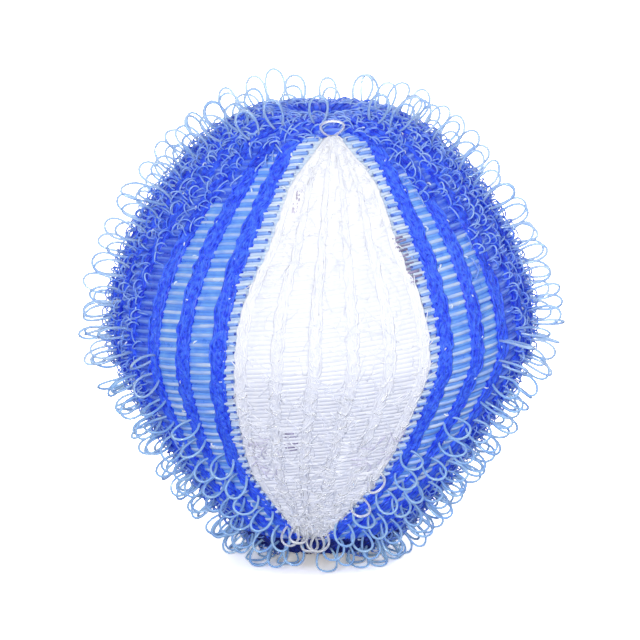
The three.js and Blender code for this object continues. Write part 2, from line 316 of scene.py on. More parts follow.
def tubes(points, radius, sides):
    """Closed tubes through rows of points: vertices, side faces and end faces for paths (k, n, 3)."""
    points = np.asarray(points, float)
    paths, count, _ = points.shape
    tangent = np.gradient(points, axis=1)
    tangent /= np.linalg.norm(tangent, axis=2, keepdims=True)
    steep_from = 0.7
    steep = np.abs(tangent[:, 0, 2:3]) > steep_from
    reference = np.where(steep, [[1.0, 0.0, 0.0]], [[0.0, 0.0, 1.0]])
    side = np.empty_like(points)
    side[:, 0] = np.cross(reference, tangent[:, 0])
    for i in range(count):
        if i:
            side[:, i] = side[:, i - 1]
        flat = np.sum(side[:, i] * tangent[:, i], axis=1, keepdims=True)
        side[:, i] -= flat * tangent[:, i]
        side[:, i] /= np.linalg.norm(side[:, i], axis=1, keepdims=True)
    other = np.cross(tangent, side)
    angle = 2 * np.pi * np.arange(sides) / sides
    radius = np.broadcast_to(np.asarray(radius, float), (paths, count))[:, :, None, None]
    vertices = points[:, :, None, :] + radius * (
        np.cos(angle)[None, None, :, None] * side[:, :, None, :]
        + np.sin(angle)[None, None, :, None] * other[:, :, None, :])
    index = np.arange(paths * count * sides).reshape(paths, count, sides)
    following = np.roll(index, -1, axis=2)
    quads = np.stack([index[:, :-1], following[:, :-1], following[:, 1:], index[:, 1:]], axis=-1)
    caps = np.concatenate([index[:, 0, ::-1], index[:, -1]])
    return vertices.reshape(-1, 3), quads.reshape(-1, 4), caps


def make_piece(name, shapes):
    """One object from tube sets with their materials, standing for the CAD node of that name."""
    vertices, faces, slots, start = [], [], [], 0
    materials = []
    for (shape_vertices, quads, caps), material in shapes:
        if material not in materials:
            materials.append(material)
        vertices.append(shape_vertices)
        faces += (quads + start).tolist() + (caps + start).tolist()
        slots += [materials.index(material)] * (len(quads) + len(caps))
        start += len(shape_vertices)
    mesh = bpy.data.meshes.new(name + "_knit")
    mesh.from_pydata((np.concatenate(vertices) * MM).tolist(), [], faces)
    mesh.shade_smooth()
    for material in materials:
        mesh.materials.append(material)
    mesh.polygons.foreach_set("material_index", slots)
    piece = bpy.data.objects.new(name + "_knit", mesh)
    bpy.context.collection.objects.link(piece)
    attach(piece, "root")
    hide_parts(name)


# Wales

def waver(s, rng, size, shortest, longest):
    """A smooth irregular wave along the wale, the sum of waves of random length."""
    waves, usual_sum = 3, 1.7
    total = np.zeros_like(s)
    for _ in range(waves):
        total += np.sin(2 * np.pi * s / rng.uniform(shortest, longest) + rng.uniform(0, 2 * np.pi))
    return size * total / usual_sum


def strand_path(wale, s, lateral, height):
    """A strand of a wale at given shares of its half width and heights above its middle."""
    most, full_width = 0.5 if wale.white else 1.0, 0.5
    point, _, normal, across = net_frame(s, wale.azimuth(s))
    width = np.maximum(wale.half_width(s) - STRAND_RADIUS, LEAST_WIDTH)
    flat = np.minimum(most, width / full_width)
    return (point + across * (lateral * width)[:, None]
            + normal * (height * flat - wale.sink(s))[:, None])


def chain_shape(wale, first, last, seed):
    """The strands that loop from side to side once in each course."""
    strands, steps = 5, 9
    swing, edge, lift, slide = 0.72, 1.05, 0.07, 0.2
    rng = np.random.default_rng(seed)
    s = np.arange(first, last, COURSE / steps)
    paths = []
    for k in range(strands):
        turn = 2 * np.pi * (s / COURSE + k / strands) + waver(s, rng, size=0.7, shortest=2.0, longest=6.0)
        middle = waver(s, rng, size=0.25, shortest=1.0, longest=4.0)
        lateral = np.clip(middle + swing * np.sin(turn), -edge, edge)
        height = lift * np.cos(2 * turn) + waver(s, rng, size=0.04, shortest=0.7, longest=2.0)
        looped = np.clip(s + slide * COURSE * np.sin(2 * turn), first, last)
        paths.append(strand_path(wale, looped, lateral, height))
    return tubes(np.stack(paths), STRAND_RADIUS, STRAND_SIDES)


def lay_shape(wale, first, last, seed):
    """The strands that wander along the wale over the chain."""
    each_side, outermost, step, lift = 3, 3.5, 0.19, 0.09
    rng = np.random.default_rng(seed)
    s = np.arange(first, last, step)
    paths = []
    for k in range(-each_side, each_side + 1):
        lateral = np.clip(k / outermost + waver(s, rng, size=0.3, shortest=1.0, longest=3.5), -1, 1)
        height = lift + waver(s, rng, size=0.05, shortest=0.6, longest=1.8)
        paths.append(strand_path(wale, s, lateral, height))
    return tubes(np.stack(paths), STRAND_RADIUS, STRAND_SIDES)


def core_shape(wale):
    """The inner legs of the chain, which close the wale behind its strands."""
    step, depth, side, fill, most = 0.6, 0.1, 0.55, 0.38, 0.25
    s = np.arange(*wale.ends(), step)
    point, _, normal, across = net_frame(s, wale.azimuth(s))
    width = wale.half_width(s)
    inward = (wale.sink(s) + depth)[:, None]
    paths = [point - normal * inward + across * (share * width)[:, None] for share in (-side, 0, side)]
    return tubes(np.stack(paths), np.clip(fill * width, LEAST_WIDTH, most), FILAMENT_SIDES)


# Filaments

def rung_paths(left, right, courses, rng, shift, base, rise, start=0.02, end=0.98, jitter=0.03):
    """One strand for each course, between two shares of the way from one wale to the next."""
    skew_jitter = 1.5 * jitter
    t = np.linspace(start, end, RUNG_POINTS)
    paths = []
    for course in courses:
        place = course + shift + rng.normal(0, jitter)
        s = place + (RUNG_SKEW + rng.normal(0, skew_jitter)) * (t - 0.5)
        azimuth = left.azimuth(s) * (1 - t) + right.azimuth(s) * t
        point, _, normal, _ = net_frame(s, azimuth)
        height = base + (rise + rng.normal(0, jitter)) * np.sin(np.pi * t)
        height -= left.sink(s) * (1 - t) + right.sink(s) * t
        paths.append(point + normal * height[:, None])
    return np.stack(paths)


def rungs(left, right, first, last, seed, base, thickness, jitter=0.03):
    """Two strands in each course of one gap."""
    rng = np.random.default_rng(seed)
    courses = np.arange(first, last, COURSE)
    paths = [rung_paths(left, right, courses, rng, shift, base, RUNG_RISE, jitter=jitter)
             for shift in (-COURSE / 4, COURSE / 4)]
    return tubes(np.concatenate(paths), thickness, FILAMENT_SIDES)


def ridges(left, right, first, last, seed):
    """One raised strand in each course of one gap."""
    rng = np.random.default_rng(seed)
    courses = np.arange(first, last, COURSE)
    paths = rung_paths(left, right, courses, rng, 0.0, RIDGE_BASE, RIDGE_RISE)
    return tubes(paths, RIDGE_RADIUS, FILAMENT_SIDES)


def marks(left, right, first, last, seed, base, thickness, start, end):
    """Short strands of uneven length over the rungs of one gap."""
    uneven_start, uneven_end = 0.1, 0.15
    rng = np.random.default_rng(seed)
    paths = [rung_paths(left, right, [course], rng, 0.0, base, RUNG_RISE,
                        start + rng.uniform(-uneven_start, uneven_start),
                        end + rng.uniform(-uneven_end, uneven_end))
             for course in np.arange(first, last, COURSE / 2)]
    return tubes(np.concatenate(paths), thickness, FILAMENT_SIDES)


def lengthwise_marks(left, right, first, last, seed, base, thickness):
    """Strands that lie along one gap, between its rungs."""
    uneven, count = 0.8, 12
    rng = np.random.default_rng(seed)
    paths = []
    for share in (0.38, 0.45, 0.52, 0.6):
        s = np.linspace(first + rng.uniform(0, uneven), last - rng.uniform(0, uneven), count)
        across_gap = share + waver(s, rng, size=0.025, shortest=0.6, longest=1.6)
        azimuth = left.azimuth(s) * (1 - across_gap) + right.azimuth(s) * across_gap
        point, _, normal, _ = net_frame(s, azimuth)
        height = base + waver(s, rng, size=0.05, shortest=0.5, longest=1.2)
        paths.append(point + normal * height[:, None])
    return tubes(np.stack(paths), thickness, FILAMENT_SIDES)


def fluff(left, right, first, last, count, seed, thickness, fade=1.0):
    """Fine curls in all directions over one gap, fewer toward last where fade is over one."""
    shortest, longest, bent, past_gap = 0.7, 1.7, 0.5, 0.2
    highest_foot, lowest_rise, highest_rise = 0.1, 0.03, 0.16
    rng = np.random.default_rng(seed)
    u = np.linspace(-0.5, 0.5, 9)
    radius = net_radius(0.5 * (first + last))
    paths = []
    for _ in range(count):
        length, heading = rng.uniform(shortest, longest), rng.uniform(0, np.pi)
        bend = rng.normal(0, bent)
        lengthwise = length * (u * np.cos(heading) + bend * u * u * np.sin(heading))
        crosswise = length * (u * np.sin(heading) - bend * u * u * np.cos(heading))
        s = first + (last - first) * rng.uniform() ** fade + lengthwise
        share = rng.uniform(-past_gap, 1 + past_gap)
        azimuth = left.azimuth(s) * (1 - share) + right.azimuth(s) * share + crosswise / radius
        point, _, normal, _ = net_frame(s, azimuth)
        height = rng.uniform(0.0, highest_foot)
        height = height + rng.uniform(lowest_rise, highest_rise) * np.cos(np.pi * u) - left.sink(s)
        paths.append(point + normal * height[:, None])
    return tubes(np.stack(paths), thickness, FINE_SIDES)


def border_teeth(left, right, first, last, seed, white_right):
    """Blue strands that hook into the panel's edge, with a painted highlight along each and a dark turn at
    the white end.
    """
    rng = np.random.default_rng(seed)
    courses = np.arange(first, last, COURSE)
    bar = {"start": 0.1, "end": 0.74} if white_right else {"start": 0.26, "end": 0.9}
    turn = {"start": 0.66, "end": 0.74} if white_right else {"start": 0.25, "end": 0.34}
    # The pale strand beside each bar is a painted highlight
    pale = rung_paths(left, right, courses, rng, shift=0.12, base=-0.1, rise=0.12, **bar)
    mid = rung_paths(left, right, courses, rng, shift=-0.08, base=-0.12, rise=0.12, **bar)
    low_base, high_base = 0.1, -0.02
    dark = [rung_paths(left, right, courses[half], rng, shift=-0.04, base=base, rise=0.06, **turn)
            for half, base in ((courses < WIDEST, low_base), (courses >= WIDEST, high_base))]
    dark = np.concatenate(dark)
    kinds = ((pale, 0.12, FROST_AND_HIGHLIGHT_PAINTED_NYLON), (mid, 0.14, BAR_NYLON), (dark, 0.1, DOT_NYLON))
    return [(tubes(paths, radius, FILAMENT_SIDES), material) for paths, radius, material in kinds]


# Loops

class LoopStyle(NamedTuple):
    """Size of a kind of loop, and how far its loops stray from their place and direction."""
    height: float
    width: float
    wild: float = 9.0                  # degrees
    radius: float = FILAMENT_RADIUS
    reach: float = 0.6                 # share of the wale's half width
    crown_drop: float = 0.0            # share of the height that is lost near the crown
    sides: int = FILAMENT_SIDES


LONG_LOOP = LoopStyle(2.6, 1.7)
SHORT_LOOP = LoopStyle(0.9, 1.0, wild=50.0, radius=0.055, reach=1.7, crown_drop=0.4, sides=FINE_SIDES)
FLAT_LOOP = LoopStyle(0.5, 1.3, wild=60.0, radius=0.055, reach=2.2, crown_drop=0.2, sides=FINE_SIDES)
GLINT_LOOP = LoopStyle(0.32, 0.34, wild=60.0, radius=0.065, reach=1.5, sides=FINE_SIDES)
WHITE_LOOP = LoopStyle(2.1, 1.6)
WHITE_CURL = LoopStyle(0.5, 0.8, wild=40.0, radius=0.04)
APEX_LOOP = LoopStyle(1.4, 1.9)


def loop_outline(count):
    """Sideways and outward places along a loop of width and height one, from foot to foot."""
    belly, pinch = 0.5, 0.2
    angle = np.linspace(-1, 1, count) * np.pi
    sideways = np.sin(angle) * (belly - pinch * np.sin(angle / 2) ** 2)
    outward = 0.5 + 0.5 * np.cos(angle)
    return sideways, outward


def lay_on_floor(shape, radius):
    """Bend what would pass through the floor outward, so that it lies on it."""
    start, outward_share = 0.8, 0.4
    z = shape[:, 2]
    bent = radius + (start - radius) * np.exp(np.minimum(z - start, 0) / (start - radius))
    push = np.where(z < start, bent - z, 0.0)
    outward = shape[:, :2] / np.linalg.norm(shape[:, :2], axis=1, keepdims=True)
    shape[:, :2] += outward_share * push[:, None] * outward
    shape[:, 2] += push


def loop_turn(k, height, azimuth):
    """Degrees that turn loop k to face the front, or to either side by turns near the widest place."""
    change, span = MIDDLE - 2.0, 2.5
    low_most, high_most, front_between, side_between = 42, 72, 26, 62
    above = np.tanh((height - change) / span)
    most = low_most + (high_most - low_most) * ease(height - MIDDLE, -1, 4)
    facing = np.sin(azimuth) * np.sign(np.cos(azimuth))
    between = front_between + (side_between - front_between) * abs(facing)
    return most * above * facing + (-1) ** k * between * (1 - abs(above))


def loop_shape(wale, places, seed, style):
    """Loops that stand out of the net along one wale, turned to face the front round the ball."""
    foot_depth, stray, tilt = 0.2, 0.1, 0.09
    low_drop, low_length, crown_length = 0.16, 8, 2
    rng = np.random.default_rng(seed)
    sideways, outward = loop_outline(count=19)
    paths = []
    for k, place in enumerate(places):
        s = place + rng.normal(0, stray)
        foot = wale.half_width(s) * rng.uniform(-style.reach, style.reach)
        point, along, normal, across = net_frame(s, wale.azimuth(s) + foot / net_radius(s))
        width = style.width * rng.uniform(0.9, 1.1)
        height = style.height * rng.uniform(0.9, 1.08)
        height *= 1 - low_drop * ease(WIDEST - s, 0, low_length)
        height *= 1 - style.crown_drop * ease(s, CROWN_PLACE - crown_length, CROWN_PLACE)
        twist = np.radians(rng.normal(0, style.wild) - loop_turn(k, point[2], wale.azimuth(s)))
        lean_across, lean_along = rng.normal(0, tilt, 2)
        flat = across * np.cos(twist) + along * np.sin(twist)
        shape = (point + np.outer(sideways * width, flat)
                 + np.outer(outward * height - foot_depth, normal)
                 + np.outer(outward ** 2 * height, lean_across * across + lean_along * along))
        lay_on_floor(shape, style.radius)
        paths.append(shape)
    return tubes(np.stack(paths), style.radius, style.sides)


# Closing threads

def thread_shape(upper):
    """The thread that is wound round the turned-in ends of the wales."""
    radius, pitch, turns, steps = 0.25, 0.55, 3, 40
    winding = NECK_RADIUS + 0.5
    neck_end = OUTLINE[-1 if upper else 0, 1]
    start = neck_end + radius if upper else neck_end - turns * pitch - radius
    angle = np.linspace(0, 2 * np.pi * turns, steps * turns)
    path = np.stack([winding * np.cos(angle), winding * np.sin(angle),
                     start + pitch * angle / (2 * np.pi)], axis=1)
    return tubes(path[None], radius, THREAD_SIDES)


def stitch_shape(upper):
    """The same thread where it goes to and fro across the neck and draws it shut."""
    corners, skip, steps = 9, 4, 8
    radius, inside, largest_bow = 0.22, 1.5, 0.3
    corner_radius = NECK_RADIUS + 0.1
    height = OUTLINE[-1, 1] + inside if upper else OUTLINE[0, 1] - inside
    t = np.arange(steps)[:, None] / steps
    path = []
    for k in range(corners):
        angles = [2 * np.pi * skip * corner / corners for corner in (k, k + 1)]
        start, end = [corner_radius * np.array([np.cos(a), np.sin(a)]) for a in angles]
        bow = (k % 3 - 1) * largest_bow * np.sin(np.pi * t)
        path.append(np.hstack([start * (1 - t) + end * t, height + bow]))
    return tubes(np.concatenate(path)[None], radius, THREAD_SIDES)


# Materials

def nylon(name, light, dark, roughness, grain, transmission=0.0, shine=0.5):
    """Nylon whose colour, gloss and surface change a little from place to place."""
    dark_to, light_from, gloss_change, fibre_scale = 0.35, 0.65, 0.3, 4
    material = bpy.data.materials.new(name)
    material.use_nodes = True
    nodes, links = material.node_tree.nodes, material.node_tree.links
    shader = nodes["Principled BSDF"]
    place = nodes.new("ShaderNodeTexCoord")
    noise = nodes.new("ShaderNodeTexNoise")
    noise.inputs["Scale"].default_value = grain
    noise.inputs["Detail"].default_value = 3.0
    links.new(place.outputs["Object"], noise.inputs["Vector"])
    ramp = nodes.new("ShaderNodeValToRGB")
    low, high = ramp.color_ramp.elements
    low.position, low.color = dark_to, (*dark, 1)
    high.position, high.color = light_from, (*light, 1)
    links.new(noise.outputs["Fac"], ramp.inputs["Fac"])
    links.new(ramp.outputs["Color"], shader.inputs["Base Color"])
    gloss = nodes.new("ShaderNodeMapRange")
    gloss.inputs["To Min"].default_value = roughness * (1 - gloss_change)
    gloss.inputs["To Max"].default_value = roughness * (1 + gloss_change)
    links.new(noise.outputs["Fac"], gloss.inputs["Value"])
    links.new(gloss.outputs["Result"], shader.inputs["Roughness"])
    fibre = nodes.new("ShaderNodeTexNoise")
    fibre.inputs["Scale"].default_value = fibre_scale * grain
    links.new(place.outputs["Object"], fibre.inputs["Vector"])
    bump = nodes.new("ShaderNodeBump")
    bump.inputs["Strength"].default_value = 0.25
    bump.inputs["Distance"].default_value = 0.00002
    links.new(fibre.outputs["Fac"], bump.inputs["Height"])
    links.new(bump.outputs["Normal"], shader.inputs["Normal"])
    shader.inputs["IOR"].default_value = 1.5
    shader.inputs["Specular IOR Level"].default_value = shine
    shader.inputs["Transmission Weight"].default_value = transmission
    return material


# Yarns of the wales; the side and base yarns are darker copies of the deep blue one, painted shade
BLUE_YARN = nylon("deep_blue_nylon", (0.080, 0.22, 1.0), (0.026, 0.080, 0.92),
                  roughness=0.35, grain=2500, shine=0.3)
PAINTED_SHADE_YARN = nylon("painted_shade_deep_nylon", (0.060, 0.17, 1.0), (0.010, 0.035, 0.66),
                  roughness=0.35, grain=2500, shine=0.25)
PAINTED_BASE_SHADE_YARN = nylon("painted_base_shade_deep_nylon", (0.030, 0.050, 0.36), (0.010, 0.018, 0.16),
                  roughness=0.4, grain=2500, shine=0.2)
WHITE_YARN = nylon("white_nylon", (0.95, 0.96, 1.0), (0.90, 0.92, 1.0), roughness=0.4, grain=2500)

# Rungs and ridges of the blue gaps; the base and side copies are darker, painted shade, and the pale ridge
# colours are a painted highlight along each course
PAINTED_BASE_SHADE_RUNG_NYLON = nylon("painted_base_shade_blue_nylon", (0.035, 0.060, 0.40), (0.015, 0.025, 0.20),
                   roughness=0.4, grain=1200, shine=0.2)
BLUE_NYLON = nylon("mid_blue_nylon", (0.19, 0.46, 1.0), (0.12, 0.33, 0.98),
                   roughness=0.3, grain=1200, transmission=0.1)
PAINTED_HIGHLIGHT_NYLON = nylon("painted_highlight_blue_nylon", (0.66, 0.79, 1.0), (0.28, 0.48, 1.0),
                   roughness=0.25, grain=500, transmission=0.1)
PAINTED_SHADE_RUNG_NYLON = nylon("painted_shade_blue_nylon", (0.07, 0.19, 0.97), (0.03, 0.09, 0.75),
                   roughness=0.3, grain=1200, transmission=0.1)
PAINTED_SHADE_AND_HIGHLIGHT_NYLON = nylon("painted_shade_and_highlight_nylon", (0.20, 0.36, 0.98), (0.07, 0.18, 0.9),
                  roughness=0.25, grain=600, transmission=0.1)

# Border of the panel; the frosted colour is both the pale colour of the rungs behind and a painted
# highlight on one strand of each tooth
FROST_AND_HIGHLIGHT_PAINTED_NYLON = nylon("frosted_and_highlight_painted_nylon", (0.80, 0.89, 1.0), (0.64, 0.79, 1.0),
                    roughness=0.3, grain=900, transmission=0.1)
BAR_NYLON = nylon("bar_blue_nylon", (0.31, 0.52, 0.98), (0.19, 0.37, 0.92),
                  roughness=0.3, grain=900, transmission=0.1)
DOT_NYLON = nylon("dark_blue_nylon", (0.10, 0.20, 0.78), (0.05, 0.09, 0.42), roughness=0.3, grain=1200)

# Loops; the near-white colour of the tiny glint loops is a painted glint
BLUE_TINT = nylon("tinted_blue_nylon", (0.42, 0.63, 1.0), (0.10, 0.25, 1.0),
                  roughness=0.2, grain=1100, transmission=0.1, shine=0.25)
PAINTED_GLINT_NYLON = nylon("painted_glint_blue_nylon", (0.96, 0.98, 1.0), (0.55, 0.75, 1.0), roughness=0.1, grain=1500)
RING_NYLON = nylon("ring_blue_nylon", (0.54, 0.78, 1.0), (0.36, 0.62, 1.0),
                   roughness=0.1, grain=700, transmission=0.35)
BLUE_CLEAR = nylon("clear_blue_nylon", (0.60, 0.77, 0.97), (0.42, 0.63, 0.93),
                   roughness=0.08, grain=700, transmission=0.45)
WHITE_CLEAR = nylon("clear_white_nylon", (0.96, 0.97, 0.98), (0.91, 0.93, 0.97),
                    roughness=0.14, grain=700, transmission=0.6)

# Strands of the panel coloured grey and mauve: painted shade where the dark inside shows through the knit
LIGHT_PAINTED_SHADE_NYLON = nylon("light_shade_painted_white_nylon", (0.84, 0.83, 0.94), (0.62, 0.60, 0.78), roughness=0.4, grain=1500)
PAINTED_SHADE_WHITE_NYLON = nylon("painted_shade_white_nylon", (0.74, 0.70, 0.84), (0.40, 0.36, 0.50), roughness=0.4, grain=1500)
DARK_PAINTED_SHADE_NYLON = nylon("dark_shade_painted_white_nylon", (0.36, 0.32, 0.52), (0.15, 0.13, 0.26), roughness=0.4, grain=1500)

# Materials of the base, painted with shade, of the open part, whose pale ridges are a painted highlight,
# and of the part under short loops, painted with shade
YARNS = (PAINTED_BASE_SHADE_YARN, BLUE_YARN, PAINTED_SHADE_YARN)
RUNGS = (PAINTED_BASE_SHADE_RUNG_NYLON, BLUE_NYLON, PAINTED_SHADE_RUNG_NYLON)
RIDGES = (PAINTED_BASE_SHADE_RUNG_NYLON, PAINTED_HIGHLIGHT_NYLON, PAINTED_SHADE_AND_HIGHLIGHT_NYLON)


# Pieces

def stretches(first, last, tangle):
    """The base, painted with shade, the open part, and the part under short loops, also painted with shade:
    their ends and their order.
    """
    places = np.clip([first, BASE_PLACE, max(tangle, BASE_PLACE), last], first, last)
    return [(start, end, k) for k, (start, end) in enumerate(zip(places, places[1:]))
            if end - start > COURSE]


def build_wales():
    for wale in BLUE:
        seed = SEED["blue wale"] + wale.index
        # The cores, behind the strands, take the darker side yarn: painted shade
        shapes = [(core_shape(wale), PAINTED_SHADE_YARN)]
        for start, end, k in stretches(*wale.ends(), wale.tangle_from()):
            shapes += [(chain_shape(wale, start, end, seed), YARNS[k]),
                       (lay_shape(wale, start, end, seed + LAY_SEED), YARNS[k])]
        make_piece(wale.name, shapes)
    for wale in WHITE:
        seed = SEED["white wale"] + wale.index
        parts = (chain_shape(wale, *wale.ends(), seed), lay_shape(wale, *wale.ends(), seed + LAY_SEED),
                 core_shape(wale))
        make_piece(wale.name, [(part, WHITE_YARN) for part in parts])


def long_loop_places(wale, low, high, from_panel):
    """Places of the long loops of a blue wale below and above its widest place."""
    start = low + LOOP_SHIFTS[wale.index % 3] * LOW_LOOP_SPACING
    lower = np.arange(start, WIDEST + LOW_LOOPS_TO, LOW_LOOP_SPACING)
    upper = np.arange(WIDEST + HIGH_LOOPS_FROM + wale.index % 4 / 4 * LOOP_SPACING, high, LOOP_SPACING)
    if wale.index % 2:
        upper = upper[upper < WIDEST + ODD_LOOPS_TO]
    smooth_from = WIDEST + SMOOTH_FROM.get(from_panel, LENGTH)
    smooth_to = place_at_radius(SMOOTH_TO_RADIUS if from_panel else EDGE_SMOOTH_TO_RADIUS, True)
    return [places[(places < smooth_from) | (places > smooth_to)] for places in (lower, upper)]


def blue_loops(wale):
    """The long loops of a blue wale, the short tinted ones between them and tiny ones coloured as painted
    glints, with their materials.
    """
    from_panel = min(wale.index, BLUE_WALES - 1 - wale.index)
    low_radius = PANEL_LOOP_LOW_RADIUS if from_panel < PANEL_SIDE_WALES else LOOP_LOW_RADIUS
    low, high = ends_at(low_radius, LOOP_HIGH_RADII[wale.index % 3])
    lower, upper = long_loop_places(wale, low, high, from_panel)
    tangle = max(wale.tangle_from(), low)
    glint_start = low + GLINT_START + LOOP_SHIFTS[wale.index % 3]
    short_to, flat_to, glint_to = places_at((SHORT_HIGH_RADIUS, FLAT_HIGH_RADIUS, GLINT_HIGH_RADIUS), True)
    kinds = [(lower, "low loops", LONG_LOOP, RING_NYLON),
             (np.arange(tangle, short_to, SHORT_SPACING), "short loops", SHORT_LOOP, BLUE_TINT),
             (np.arange(tangle, flat_to, FLAT_SPACING), "flat loops", FLAT_LOOP, BLUE_TINT),
             (np.arange(glint_start, glint_to, GLINT_SPACING), "glints", GLINT_LOOP, PAINTED_GLINT_NYLON),
             (upper, "high loops", LONG_LOOP, BLUE_CLEAR)]
    return [(loop_shape(wale, places, SEED[kind] + wale.index, style), material)
            for places, kind, style, material in kinds if len(places)]


def neck_rungs(left, right, low, high, seed):
    """The rungs of a gap from where its ridges end into both turned-in necks."""
    below = rungs(left, right, NECK_INSIDE, low, seed, RUNG_BASE, NECK_RUNG_RADIUS)
    above = rungs(left, right, high, LENGTH - NECK_INSIDE, seed + UPPER_NECK_SEED, RUNG_BASE,
                  NECK_RUNG_RADIUS)
    # Painted shade in the necks: the darker base colour below and the darker side colour above
    return [(below, PAINTED_BASE_SHADE_RUNG_NYLON), (above, PAINTED_SHADE_RUNG_NYLON)]


def blue_ladder(left, right, first, last, seed):
    """The rungs of a gap between blue wales: painted shade on the base and under short loops, and palest in
    the open part, where the ridges carry a painted highlight.
    """
    tangle = 0.5 * (left.tangle_from() + right.tangle_from())
    shapes = []
    for start, end, k in stretches(first, last, tangle):
        shapes += [(rungs(left, right, start, end, seed, RUNG_BASE, RUNG_RADIUS), RUNGS[k]),
                   (ridges(left, right, start, end, seed + RIDGE_SEED), RIDGES[k])]
    return shapes


def build_blue_filaments():
    low, high = ends_at(LADDER_RADIUS, LADDER_RADIUS)
    for k in range((BLUE_WALES - 1) // 2):
        a, b, c = BLUE[2 * k:2 * k + 3]
        shapes = blue_ladder(a, b, low, high, SEED["first ladder"] + k)
        shapes += blue_ladder(b, c, low, high, SEED["second ladder"] + k)
        shapes += neck_rungs(a, b, low, high, SEED["first neck"] + k)
        shapes += neck_rungs(b, c, low, high, SEED["second neck"] + k)
        shapes += blue_loops(a) + blue_loops(b)
        if c is BLUE[-1]:
            shapes += blue_loops(c)
            shut_low, shut_high = ends_at(SHUT_LOW_RADIUS, SHUT_HIGH_RADIUS)
            shapes += blue_ladder(LEFT_EDGE, BLUE[0], low, shut_low, SEED["shut ladder"])
            shapes += blue_ladder(LEFT_EDGE, BLUE[0], shut_high, high, SEED["shut ladder"] + 1)
            shapes += neck_rungs(LEFT_EDGE, BLUE[0], low, high, SEED["shut neck"])
        make_piece(f"blue_filament_{k + 1:02d}", shapes)


def build_border_filaments():
    low, high = ends_at(BORDER_RADIUS, BORDER_RADIUS)
    behind = {"base": -0.35, "thickness": 0.22}
    teeth_seed, rungs_seed = SEED["border teeth"], SEED["border rungs"]
    left = border_teeth(LEFT_EDGE, WHITE[0], low, high, teeth_seed, True)
    left.append((rungs(LEFT_EDGE, WHITE[0], low, high, rungs_seed, **behind), FROST_AND_HIGHLIGHT_PAINTED_NYLON))
    make_piece("border_filament_left", left)
    # Dark marks over the right border: painted shade where the inside shows through
    shade = marks(WHITE[-1], BLUE[0], *places_at((14.0, 12.3), True), SEED["border shade"],
                  base=0.02, thickness=0.085, start=0.0, end=0.45)
    right = border_teeth(WHITE[-1], BLUE[0], low, high, teeth_seed + 1, False)
    right += [(rungs(WHITE[-1], BLUE[0], low, high, rungs_seed + 1, **behind), FROST_AND_HIGHLIGHT_PAINTED_NYLON),
              (shade, DARK_PAINTED_SHADE_NYLON)]
    make_piece("border_filament_right", right)


def panel_painted_shades(k):
    """The strands painted with shade in a gap of the panel, which show in four places."""
    left, right = WHITE[k:k + 2]
    shapes = []
    if k == 0:
        upper = lengthwise_marks(left, right, *places_at((11.8, 9.8), True), SEED["upper shade"],
                                 base=-0.02, thickness=0.07)
        light_shade = fluff(left, right, *places_at((10.8, 12.9), False), count=22, seed=SEED["left light shade"],
                     thickness=0.045)
        shapes += [(upper, PAINTED_SHADE_WHITE_NYLON), (light_shade, LIGHT_PAINTED_SHADE_NYLON)]
    if k == 1:
        lower = marks(left, right, *places_at((12.3, 13.3), False), SEED["lower shade"],
                      base=-0.03, thickness=0.055, start=0.35, end=0.6)
        shapes.append((lower, DARK_PAINTED_SHADE_NYLON))
    if k == WHITE_WALES - 2:
        light_shade = fluff(left, right, *places_at((11.0, 13.2), False), count=14, seed=SEED["right light shade"],
                     thickness=0.045)
        shapes.append((light_shade, LIGHT_PAINTED_SHADE_NYLON))
    return shapes


def white_ladder(k):
    """The rungs of a gap in the panel, looser toward its lower end, with the curls over them."""
    left, right = WHITE[k:k + 2]
    low, high = ends_at(WHITE_LADDER_RADIUS, WHITE_LADDER_RADIUS)
    change = WIDEST + WHITE_LOOSE_TO
    curls, low_curls = 110, 70
    parts = [rungs(left, right, low, change, SEED["low white rungs"] + k,
                   base=-0.26, thickness=0.25, jitter=0.025),
             rungs(left, right, change, high, SEED["high white rungs"] + k,
                   base=RUNG_BASE, thickness=0.3, jitter=0.01),
             fluff(left, right, low, high, curls, SEED["fluff"] + k, thickness=0.035),
             fluff(left, right, low, WIDEST, low_curls, SEED["low fluff"] + k, thickness=0.045, fade=1.5)]
    return [(part, WHITE_YARN) for part in parts]


def white_loops(wale):
    """The clear loops of a white wale: long ones at the panel's edges and ends, and short ones."""
    low = place_at_radius(WHITE_LOOP_RADIUS, False)
    long_places = low + np.array(WHITE_LOOPS[wale.index])
    curl_places = np.arange(low, WIDEST + WHITE_CURLS_TO, WHITE_CURL_SPACING)
    parts = [loop_shape(wale, long_places, SEED["white loops"] + wale.index, WHITE_LOOP),
             loop_shape(wale, curl_places, SEED["white curls"] + wale.index, WHITE_CURL)]
    if wale is WHITE[2]:
        parts.append(loop_shape(wale, [place_at_radius(APEX_RADIUS, True)], SEED["apex loop"], APEX_LOOP))
    return [(part, WHITE_CLEAR) for part in parts]


def build_white_filaments():
    for k in range(WHITE_WALES - 1):
        shapes = white_ladder(k) + panel_painted_shades(k) + white_loops(WHITE[k])
        if k == WHITE_WALES - 2:
            shapes += white_loops(WHITE[-1])
        make_piece(f"white_filament_{k + 1:02d}", shapes)


def build_threads():
    for name, upper in (("bottom_closing_thread", False), ("top_closing_thread", True)):
        shapes = [(thread_shape(upper), BLUE_YARN), (stitch_shape(upper), BLUE_YARN)]
        make_piece(name, shapes)


# Stage

FLOOR_BOUNCE, FLOOR_SEEN, FLOOR_GLOW = (0.35, 0.38, 0.52, 1), (2.9, 2.8, 2.6, 1), 0.15
WORLD_FILL, WORLD_SEEN = 0.47, 1.0

